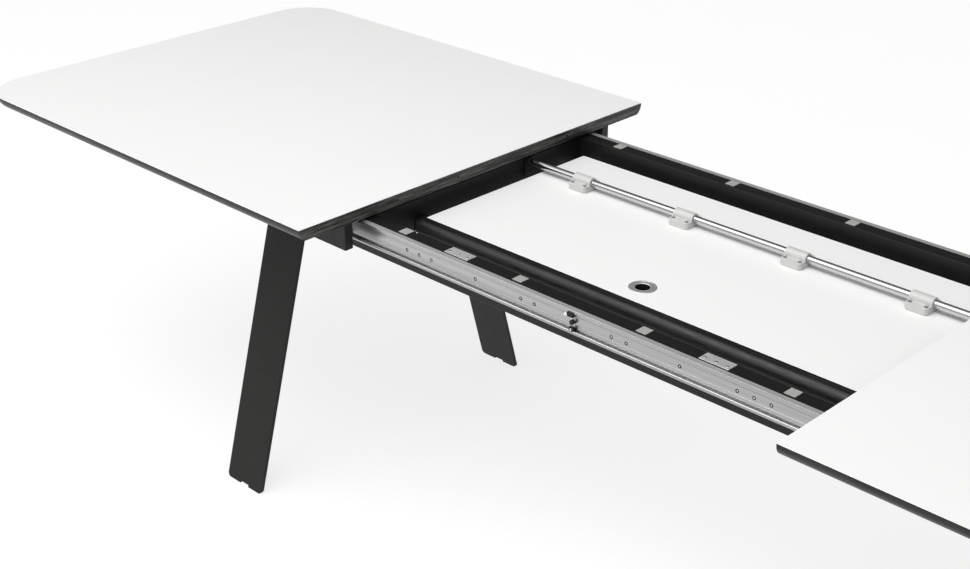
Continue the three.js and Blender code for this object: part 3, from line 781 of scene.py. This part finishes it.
def stop_plate():
    """A steel plate on the web: full width at its top, then a narrower neck and a foot."""
    top, bottom = stop_high.z - 3 * MM, stop_low.z + MM
    left, right = stop_low.x, stop_high.x - MM
    outline = [
        (left, top), (right, top), (right, bottom), (left + 6 * MM, bottom),
        (left + 6 * MM, bottom + 8 * MM), (left + 11 * MM, bottom + 8 * MM),
        (left + 11 * MM, top - 12 * MM), (left, top - 12 * MM),
    ]
    return bevel(prism(outline, "Y", web_y, web_y + 1.5 * MM), 0.4 * MM)


def stop_bolt():
    """A bolt along the slide, its head standing out of the hood towards the left."""
    profile = [
        (0, 0), (2.6 * MM, 0), (2.6 * MM, 4 * MM), (3.6 * MM, 4 * MM), (3.6 * MM, 7.2 * MM),
        (2.8 * MM, 8 * MM), (0, 8 * MM),
    ]
    lie = Matrix.Rotation(math.radians(-90), 4, "Y")
    centre = Matrix.Translation((stop_high.x - 14 * MM, channel_high.y - MM, stop_high.z - 9 * MM))
    return turned(lathe(profile, 6), centre @ lie)


for side_name, side in SIDES:
    outward_axis = side * Y_AXIS
    channel = prism(channel_outline(side), "X", channel_low.x, channel_high.x)
    piece(
        f"slide_profile_{side_name}", channel, "frame", SLIDE,
        [f"slide_channel_{side_name}"], smooth=50,
    )
    # The near slide also has screws further out, which its aprons cover.
    seats = [Vector((x, side * web_y, screw_z)) for x in SCREW_XS if abs(x) < 0.45 or side < 0]
    below, above = -0.2 * MM, 0.12 * MM
    # A thin dark disc round each web screw: painted shade of its countersunk seat.
    shade_disc = lathe([(0, below), (SHADE_DISC_RADIUS, below), (SHADE_DISC_RADIUS, above), (0, above)], 24)
    fasteners(f"slide_screw_seats_{side_name}", shade_disc, seats, outward_axis, "frame", DARK_SCREW)
    fasteners(
        f"slide_screws_{side_name}", screw_head(1.5 * MM, 0.5 * MM), seats, outward_axis,
        "frame", BRIGHT_SCREW,
    )
    piece(
        f"slide_buffer_{side_name}", on_side(stop_rubber(), side), "frame", BLACK_PLASTIC,
        [f"slide_stop_{side_name}"],
    )
    piece(f"buffer_plate_{side_name}", on_side(stop_plate(), side), "frame", ZINC)
    piece(f"buffer_bolt_{side_name}", on_side(stop_bolt(), side), "frame", BRIGHT_SCREW)
    foot_screws = [
        Vector((stop_high.x - 6 * MM, side * (channel_high.y + MM), stop_low.z + 4.5 * MM)),
        Vector((stop_high.x + 6 * MM, side * channel_high.y, channel_low.z + 4.6 * MM)),
    ]
    fasteners(
        f"buffer_screws_{side_name}", screw_head(2.4 * MM, MM), foot_screws, outward_axis,
        "frame", BRIGHT_SCREW,
    )
    for end_name, end in ENDS:
        runner_low, runner_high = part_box(f"{end_name}_runner_{side_name}")
        tip = runner_low.x if end > 0 else runner_high.x
        neck_y = max(abs(runner_low.y), abs(runner_high.y))
        places = [
            Vector((tip + end * step * MM, side * (neck_y - 0.2 * MM), screw_z + 15 * MM))
            for step in (20, 240, 460, 680, 900)
        ]
        fasteners(
            f"runner_screws_{end_name}_{side_name}", screw_head(3.6 * MM, 1.6 * MM),
            [p - outward_axis * 6 * MM for p in places], Z_AXIS, f"{end_name}_top", DARK_SCREW,
        )

# ---- Frame ----

for side_name, side in SIDES:
    dress(f"side_rail_{side_name}", LACQUER, 1.3 * MM, 3)
    for number in range(1, 5):
        dress(f"felt_pad_{side_name}_{number}", FELT, 1.2 * MM, 3)
for end_name, _ in ENDS:
    dress(f"well_rail_{end_name}", LACQUER, 1.2 * MM, 3)
    dress(f"end_rail_{end_name}", LACQUER, 1.2 * MM, 3)
    dress(f"leg_bridge_{end_name}", POWDER, 0.8 * MM)
    dress(f"rod_bracket_{end_name}", BLACK_PLASTIC, 0.8 * MM)
    dress(f"leaf_rest_{end_name}", POWDER, 0.6 * MM)

plate_screws = []
for number in (1, 2):
    dress(f"catch_plate_{number}", ZINC, 0.4 * MM)
    low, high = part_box(f"catch_plate_{number}")
    middle = (low + high) / 2
    plate_screws += [Vector((middle.x + x * MM, middle.y - 4 * MM, high.z)) for x in (-23, 0, 22)]
fasteners(
    "catch_plate_screws", screw_head(3 * MM, 0.7 * MM), plate_screws, Z_AXIS,
    "frame", BRIGHT_SCREW,
)
rail_low, rail_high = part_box("side_rail_near")
pad_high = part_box("felt_pad_near_1")[1]
marker = Vector((pad_high.x + 6 * MM, rail_high.y - 3.5 * MM, rail_high.z))
fasteners("rail_screw", screw_head(2.2 * MM, MM), [marker], Z_AXIS, "frame", BRIGHT_SCREW)

# Legs are flat plates: a front outline with rounded foot corners and a notch, leaned outwards.
FOOT_CORNER = 10 * MM
NOTCH_HALF = 13.5 * MM
NOTCH_HEIGHT = 5 * MM
LEG_PLATE = 8 * MM


def leg(end_name, side_name, side):
    """A plate leg that fills its node's box: the plate's level section is wider than it is thick."""
    low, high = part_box(f"leg_{end_name}_{side_name}")
    height = high.z
    width = high.y - low.y
    rough_slope = (width - LEG_PLATE) / height
    across = LEG_PLATE * math.sqrt(1 + rough_slope**2)
    slope = (width - across) / height
    foot_y = max(abs(low.y), abs(high.y))
    middle = (low.x + high.x) / 2
    notch_corner = 1.5 * MM
    outline = [
        *arc(low.x + FOOT_CORNER, FOOT_CORNER, FOOT_CORNER, 180, 270, 10),
        *arc(middle - NOTCH_HALF - notch_corner, notch_corner, notch_corner, 270, 360, 4),
        *arc(middle - NOTCH_HALF + notch_corner, NOTCH_HEIGHT - notch_corner, notch_corner, 180, 90, 4),
        *arc(middle + NOTCH_HALF - notch_corner, NOTCH_HEIGHT - notch_corner, notch_corner, 90, 0, 4),
        *arc(middle + NOTCH_HALF + notch_corner, notch_corner, notch_corner, 180, 270, 4),
        *arc(high.x - FOOT_CORNER, FOOT_CORNER, FOOT_CORNER, 270, 360, 10),
        (high.x, height),
        (low.x, height),
    ]
    rings = [
        [(x, side * (foot_y - back - slope * z), z) for x, z in outline] for back in (0, across)
    ]
    return bevel(loft(rings), 0.7 * MM, 2, 50)


def weld(end_name, side_name, side):
    """Fillets of weld along both faces of a leg, where it meets its bridge."""
    low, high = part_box(f"leg_{end_name}_{side_name}")
    bridge_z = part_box(f"leg_bridge_{end_name}")[0].z
    inner = min(abs(low.y), abs(high.y))
    outer = inner + LEG_PLATE * 1.04
    size = 4.5 * MM
    bite = 0.6 * MM
    beads = []
    for y, way in ((inner, -1), (outer, 1)):
        section = [
            (y - way * bite, bridge_z),
            (y + way * size, bridge_z),
            (y + way * 0.35 * size, bridge_z - 0.45 * size),
            (y + way * 0.25 * size, bridge_z - size),
            (y - way * bite, bridge_z - size),
        ]
        section = [(side * v, z) for v, z in section]
        beads.append(prism(section, "X", low.x + 2 * MM, high.x - 2 * MM))
    return joined(beads)


for end_name, end in ENDS:
    bridge_low, bridge_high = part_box(f"leg_bridge_{end_name}")
    for side_name, side in SIDES:
        node = f"leg_{end_name}_{side_name}"
        piece(f"{node}_plate", leg(end_name, side_name, side), "frame", POWDER, [node])
        piece(f"{node}_weld", weld(end_name, side_name, side), "frame", POWDER)
    bolt_xs = [bridge_low.x + 24 * MM, bridge_high.x - 24 * MM]
    rail_middle = abs(rail_low.y + rail_high.y) / 2
    bolt_ys = [-rail_middle, rail_middle]
    places = [Vector((x, y, bridge_low.z)) for x in bolt_xs for y in bolt_ys]
    fasteners(
        f"bridge_bolts_{end_name}", hex_head(6.5 * MM, 5 * MM), places, -Z_AXIS,
        "frame", DARK_SCREW,
    )

# ---- Rod, brackets and rests ----

rod_low, rod_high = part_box("leaf_rod")
ROD_CENTRE = (rod_low + rod_high) / 2
ROD_RADIUS = (rod_high.z - rod_low.z) / 2
half_rod = (rod_high.x - rod_low.x) / 2
rod_profile = [
    (0, -half_rod), (ROD_RADIUS - MM, -half_rod), (ROD_RADIUS, MM - half_rod),
    (ROD_RADIUS, half_rod - MM), (ROD_RADIUS - MM, half_rod), (0, half_rod),
]
along_x = Matrix.Translation(ROD_CENTRE) @ Matrix.Rotation(math.radians(90), 4, "Y")
piece("chrome_rod", turned(lathe(rod_profile, 64), along_x), "frame", CHROME, ["leaf_rod"])

SCREWED_ON = (("bracket", "rod_bracket", 3.2 * MM, 7 * MM), ("rest", "leaf_rest", 3 * MM, 9 * MM))
for end_name, end in ENDS:
    for short_name, node, radius, rise in SCREWED_ON:
        low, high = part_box(f"{node}_{end_name}")
        plate_x = (high.x if end > 0 else low.x) - end * 4 * MM
        middle_y = (low.y + high.y) / 2
        places = [Vector((plate_x, middle_y + y * MM, low.z + rise)) for y in (-8, 8)]
        fasteners(
            f"{short_name}_screws_{end_name}", screw_head(radius, 0.9 * MM), places, -end * X_AXIS,
            "frame", DARK_SCREW,
        )

# ---- Folded leaf ----

far_low, far_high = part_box("leaf_far_board")
near_low, near_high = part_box("leaf_near_board")
back_low, back_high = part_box("leaf_back_sheet")
FOLD_Y = far_high.y
LIPPING_Y = back_low.y
HINGE_NODES = ("leaf_hinge_{}_1", "leaf_hinge_{}_2")
HINGE_LEAF = 2.4 * MM
CUP_ROOM = 0.3 * MM


def leaf_outline(face_z, rise, first, last):
    """A leaf half's section between two depths under its face. Rise is +1 where its back is up."""
    edge_y = far_low.y
    depths = [d for d in edge_depths(first) if first <= d <= last]
    return [(edge_y + edge_inset(d), face_z + rise * d) for d in depths]


def leaf_core(face_z, rise):
    """The core and its lipped edge, stepped down behind the lipping for the back sheet."""
    back_z = face_z + rise * BOARD_THICKNESS
    step_z = back_z - rise * SHEET_THICKNESS
    outline = leaf_outline(face_z, rise, SHEET_THICKNESS, BOARD_THICKNESS)
    outline += [(LIPPING_Y, back_z), (LIPPING_Y, step_z), (FOLD_Y, step_z)]
    outline += [(FOLD_Y, face_z + rise * SHEET_THICKNESS)]
    return prism(outline, "X", far_low.x, far_high.x)


def hinge_pockets(half):
    """Recesses in a half's face for its hinge leaves, with a little room round them."""
    room = 0.3 * MM
    pockets = []
    for pattern in HINGE_NODES:
        low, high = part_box(pattern.format(half))
        reach = HINGE_LEAF + room
        face_z = far_low.z if half == "far" else near_high.z
        inner = face_z + reach if half == "far" else face_z - reach
        outer = face_z - MM if half == "far" else face_z + MM
        pockets.append(box_shape(
            (low.x - room, low.y - room, min(inner, outer)),
            (high.x + room, FOLD_Y + MM, max(inner, outer)),
        ))
    return joined(pockets)


def leaf_face(face_z, rise):
    """The laminate on a half's show face."""
    low_z, high_z = sorted((face_z, face_z + rise * SHEET_THICKNESS))
    return box_shape((far_low.x, far_low.y, low_z), (far_high.x, FOLD_Y, high_z))


def cup_hole():
    """A round hole for the finger pull's cup, open at the top."""
    low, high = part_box("finger_pull_cup")
    radius = (high.x - low.x) / 2 + CUP_ROOM
    floor, mouth = low.z - CUP_ROOM, high.z + MM
    hole = lathe([(0, floor), (radius, floor), (radius, mouth), (0, mouth)])
    return turned(hole, Matrix.Translation((PULL_CENTRE.x, PULL_CENTRE.y, 0)))


near_back = ((far_low.x, LIPPING_Y, near_low.z), (far_high.x, FOLD_Y, near_low.z + SHEET_THICKNESS))
LEAF_HALVES = {"far": (far_low.z, 1, (back_low, back_high)), "near": (near_high.z, -1, near_back)}
for half, (face_z, rise, back_box) in LEAF_HALVES.items():
    leaf_body = f"leaf_{half}_half"
    core = carve(leaf_core(face_z, rise), hinge_pockets(half))
    face = carve(leaf_face(face_z, rise), hinge_pockets(half))
    back = box_shape(*back_box)
    back_nodes = []
    if half == "far":
        core = carve(core, cup_hole())
        back = carve(back, cup_hole())
        back_nodes = ["leaf_back_sheet"]
    piece(f"leaf_{half}_core", core, leaf_body, OAK, [f"leaf_{half}_board"])
    piece(f"leaf_{half}_surface", face, leaf_body, LAMINATE)
    piece(f"leaf_{half}_back", back, leaf_body, LAMINATE, back_nodes)

hinge_screws = {"far": (-1, far_low.z), "near": (1, near_high.z)}
for half, (way, face_z) in hinge_screws.items():
    places = []
    for pattern in HINGE_NODES:
        node = pattern.format(half)
        dress(node, ZINC, 0.25 * MM)
        low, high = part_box(node)
        middle_x = (low.x + high.x) / 2
        screw_y = low.y + 7 * MM
        places += [Vector((middle_x + x * MM, screw_y, face_z - way * 0.15 * MM)) for x in (-22, 0, 22)]
    fasteners(
        f"hinge_screws_{half}", screw_head(2.6 * MM, 0.3 * MM), places, way * Z_AXIS,
        f"leaf_{half}_half", BRIGHT_SCREW,
    )

# Alignment: pins at the leaf's left end and bushes at its right end, as deep below the face as
# the sockets of the two top halves.
leaf_ys = {
    "far": ([FOLD_Y - y for y in dowel_ys if y > 0], far_low.z + SOCKET_DEPTH),
    "near": ([FOLD_Y + y for y in dowel_ys if y < 0], near_high.z - SOCKET_DEPTH),
}
for half, (ys, z) in leaf_ys.items():
    leaf_body = f"leaf_{half}_half"
    piece(f"leaf_pins_{half}", pins(far_low.x, ys, z, PIN_LENGTH, -1), leaf_body, BRIGHT_SCREW)
    eyes = bushes(far_high.x, ys, z, MM, 1)
    piece(f"leaf_bushes_{half}", eyes, leaf_body, SOCKET_METAL)
for end_name, _ in ENDS:
    dress(f"leaf_pin_{end_name}", BRIGHT_SCREW)

# ---- Finger pull ----

cup_low, cup_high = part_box("finger_pull_cup")
RING_RADIUS = (PULL_HIGH.x - PULL_LOW.x) / 2
HOLE_RADIUS = 14 * MM


def pull_ring():
    """A ring with two raised lands, and a chamfer down to its hole."""
    height = PULL_HIGH.z - PULL_LOW.z
    section = [
        (HOLE_RADIUS, 0), (RING_RADIUS, 0), (RING_RADIUS, 0.3 * height),
        (RING_RADIUS - 0.5 * MM, 0.75 * height), (RING_RADIUS - 1.6 * MM, height),
        (RING_RADIUS - 3.2 * MM, height), (RING_RADIUS - 3.6 * MM, 0.75 * height),
        (HOLE_RADIUS + 3.4 * MM, 0.75 * height), (HOLE_RADIUS + 2.8 * MM, height),
        (HOLE_RADIUS + 1.8 * MM, height), (HOLE_RADIUS, 0.2 * height),
    ]
    return turned(lathe(section, 96), Matrix.Translation((PULL_CENTRE.x, PULL_CENTRE.y, PULL_LOW.z)))


def pull_cup():
    """A cup with a rounded floor under the ring."""
    outer = (cup_high.x - cup_low.x) / 2
    depth = cup_high.z - cup_low.z
    section = [
        (0, 0), (outer, 0), (outer, depth), (HOLE_RADIUS, depth), (HOLE_RADIUS, 4 * MM),
        (HOLE_RADIUS - MM, 2 * MM), (HOLE_RADIUS - 3 * MM, 1.2 * MM), (0, MM),
    ]
    return turned(lathe(section, 64), Matrix.Translation((PULL_CENTRE.x, PULL_CENTRE.y, cup_low.z)))


piece("pull_ring", pull_ring(), "leaf_far_half", TURNED, ["finger_pull_ring"])
piece("pull_cup", pull_cup(), "leaf_far_half", BLACK_PLASTIC, ["finger_pull_cup"])

# ---- Rod clips ----

CLIP_CORNER = 8 * MM
CLIP_FOOT = 14 * MM
CLIP_SCREW = 16.5 * MM
CLIP_POCKET = 4.7 * MM
CLIP_POCKET_DEPTH = 3 * MM
CLIP_BORE = ROD_RADIUS + 0.4 * MM
CLIP_CORNERS = [(x, y) for x in (-CLIP_SCREW, CLIP_SCREW) for y in (-CLIP_SCREW, CLIP_SCREW)]


def clip(low, high):
    """A saddle: a foot with rounded corners, and a crown over the rod, blended together."""
    centre = (low + high) / 2
    crown = high.z - ROD_CENTRE.z
    foot_z = low.z + CLIP_FOOT
    fillet = 2 * MM
    crown_y = crown + fillet
    right = [(high.y, low.z), (high.y, foot_z)]
    right += arc(ROD_CENTRE.y + crown_y, foot_z + fillet, fillet, 270, 180, 6)
    section = right + arc(ROD_CENTRE.y, ROD_CENTRE.z, crown, 0, 180, 20)
    section += [(2 * ROD_CENTRE.y - y, z) for y, z in reversed(right)]
    body = prism(section, "X", low.x, high.x)
    corners = ((1, 1, 0), (-1, 1, 90), (-1, -1, 180), (1, -1, 270))
    reach_x = high.x - centre.x - CLIP_CORNER
    reach_y = high.y - centre.y - CLIP_CORNER
    plan = [
        point
        for sign_x, sign_y, start in corners
        for point in arc(
            centre.x + sign_x * reach_x, centre.y + sign_y * reach_y, CLIP_CORNER, start, start + 90, 8
        )
    ]
    body = carve(body, prism(plan, "Z", low.z - MM, high.z + MM), "INTERSECT")
    body = bevel(body, 1.2 * MM, 3, 40)
    bore = prism(arc(ROD_CENTRE.y, ROD_CENTRE.z, CLIP_BORE, 0, 350, 35), "X", low.x - MM, high.x + MM)
    body = carve(body, bore)
    pocket_z = foot_z - CLIP_POCKET_DEPTH
    above_z = foot_z + 9 * MM
    holes = [
        turned(
            lathe([(0, pocket_z), (CLIP_POCKET, pocket_z), (CLIP_POCKET, above_z), (0, above_z)], 24),
            Matrix.Translation((centre.x + x, centre.y + y, 0)),
        )
        for x, y in CLIP_CORNERS
    ]
    return carve(body, joined(holes))


clip_screws = []
for number in range(1, 5):
    clip_low, clip_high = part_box(f"rod_clip_{number}")
    clip_middle = (clip_low + clip_high) / 2
    piece(
        f"saddle_clip_{number}", clip(clip_low, clip_high), "leaf_far_half",
        CLIP_WHITE, [f"rod_clip_{number}"],
    )
    seat_z = clip_low.z + CLIP_FOOT - 2.9 * MM
    clip_screws += [
        Vector((clip_middle.x + x, clip_middle.y + y, seat_z))
        for x, y in CLIP_CORNERS
    ]
fasteners(
    "clip_screws", screw_head(3.6 * MM, 1.8 * MM), clip_screws, Z_AXIS,
    "leaf_far_half", DARK_SCREW,
)

# ---- Lock hooks and studs ----

for side_name, side in SIDES:
    hook_node = f"lock_hook_{side_name}"
    dress(hook_node, ZINC, 0.4 * MM)
    hook_low, hook_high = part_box(hook_node)
    joint = next(j for j in frame["joints"] if j["child"] == NODE_BODY[hook_node])
    pivot = Vector(joint["pos_m"])
    gap = 0.25 * MM
    spacer = [(0, hook_high.z + gap), (8 * MM, hook_high.z + gap), (8 * MM, board_low.z), (0, board_low.z)]
    rivet = [
        (0, hook_low.z - gap), (5.5 * MM, hook_low.z - gap), (5 * MM, hook_low.z - 2 * MM),
        (2.5 * MM, hook_low.z - 3 * MM), (0, hook_low.z - 3 * MM),
    ]
    to_pivot = Matrix.Translation((pivot.x, pivot.y, 0))
    pivot_parts = joined([turned(lathe(p, 32), to_pivot) for p in (spacer, rivet)])
    piece(f"lock_pivot_{side_name}", pivot_parts, "left_top", BRIGHT_SCREW)

    # The stud stands where the hook's mouth reaches when both halves are pushed together.
    mouth = 45 * MM
    travel = abs(frame["joints"][0]["range_m"][0])
    stud_x = pivot.x + mouth + 2 * travel
    stud = [
        (0, hook_low.z - 2.5 * MM), (6.5 * MM, hook_low.z - 2.5 * MM), (6.5 * MM, hook_low.z - MM),
        (4 * MM, hook_low.z - 0.6 * MM), (4 * MM, board_low.z - 1.5 * MM),
        (8 * MM, board_low.z - 1.5 * MM), (8 * MM, board_low.z), (0, board_low.z),
    ]
    to_stud = Matrix.Translation((stud_x, pivot.y, 0))
    piece(
        f"lock_stud_{side_name}", turned(lathe(stud, 32), to_stud), "right_top", BRIGHT_SCREW
    )

# ---- Floor, light and camera ----

FLOOR_HALF = 40
FLOOR_GLOW = 0.78
WALL_LIGHT = 0.12
CEILING_LIGHT = 1.3
BRIGHT_SIDE = (0, -0.5, 0.8)
CAMERA_PLACE = (1.6276, -2.2100, 1.9755)
CAMERA_AZIMUTH = math.radians(-44.47)
CAMERA_ELEVATION = math.radians(25.86)
CAMERA_LENS = 59.64


def stage():
    """A white floor that glows faintly, and a studio bright overhead and in front, dim behind."""
    slab = box_shape((-FLOOR_HALF, -FLOOR_HALF, -0.02), (FLOOR_HALF, FLOOR_HALF, 0))
    floor = bpy.data.objects.new("floor", to_mesh("floor", slab))
    bpy.context.scene.collection.objects.link(floor)
    paper = Finish("floor_paper", (0.25, 0.25, 0.25), 0.9, specular=0.1)
    paper.color(paper.blend(paper.noise(3), (0.245, 0.245, 0.245), (0.255, 0.255, 0.255)))
    paper.shader.inputs["Emission Color"].default_value = (1, 1, 1, 1)
    paper.shader.inputs["Emission Strength"].default_value = FLOOR_GLOW
    floor.data.materials.append(paper.material)

    world = bpy.data.worlds.new("studio")
    world.use_nodes = True
    nodes, links = world.node_tree.nodes, world.node_tree.links
    place = nodes.new("ShaderNodeTexCoord")
    lean = nodes.new("ShaderNodeVectorMath")
    lean.operation = "DOT_PRODUCT"
    lean.inputs[1].default_value = BRIGHT_SIDE
    spread = nodes.new("ShaderNodeMapRange")
    spread.inputs["From Min"].default_value = 0.42
    spread.inputs["From Max"].default_value = 0.85
    spread.inputs["To Min"].default_value = WALL_LIGHT
    spread.inputs["To Max"].default_value = CEILING_LIGHT
    links.new(place.outputs["Generated"], lean.inputs[0])
    links.new(lean.outputs["Value"], spread.inputs["Value"])
    background = nodes["Background"]
    background.inputs["Color"].default_value = (1, 1, 1, 1)
    links.new(spread.outputs["Result"], background.inputs["Strength"])
    bpy.context.scene.world = world
    bpy.context.scene.view_settings.view_transform = "Standard"


def area_light(name, place, target, size, power):
    """A soft rectangular light at a place, facing a target."""
    light = bpy.data.lights.new(name, "AREA")
    light.shape = "RECTANGLE"
    light.size, light.size_y = size
    light.energy = power
    made = bpy.data.objects.new(name, light)
    bpy.context.scene.collection.objects.link(made)
    made.location = place
    made.rotation_euler = (Vector(target) - Vector(place)).to_track_quat("-Z", "Y").to_euler()


def camera():
    """Looks down at the table from the near right."""
    data = bpy.data.cameras.new("camera")
    data.sensor_width = 36
    data.lens = CAMERA_LENS
    data.clip_end = 200
    made = bpy.data.objects.new("camera", data)
    made.location = CAMERA_PLACE
    made.rotation_euler = (math.pi / 2 - CAMERA_ELEVATION, 0, -CAMERA_AZIMUTH)
    bpy.context.scene.collection.objects.link(made)
    bpy.context.scene.camera = made


stage()
area_light("overhead", (-0.4, -1.9, 4.0), (0, 0, 0.7), (5, 1.8), 98)
area_light("left_window", (-4.5, -2.2, 2.6), (0, 0, 0.6), (3, 3), 25)
camera()

bpy.context.view_layer.update()
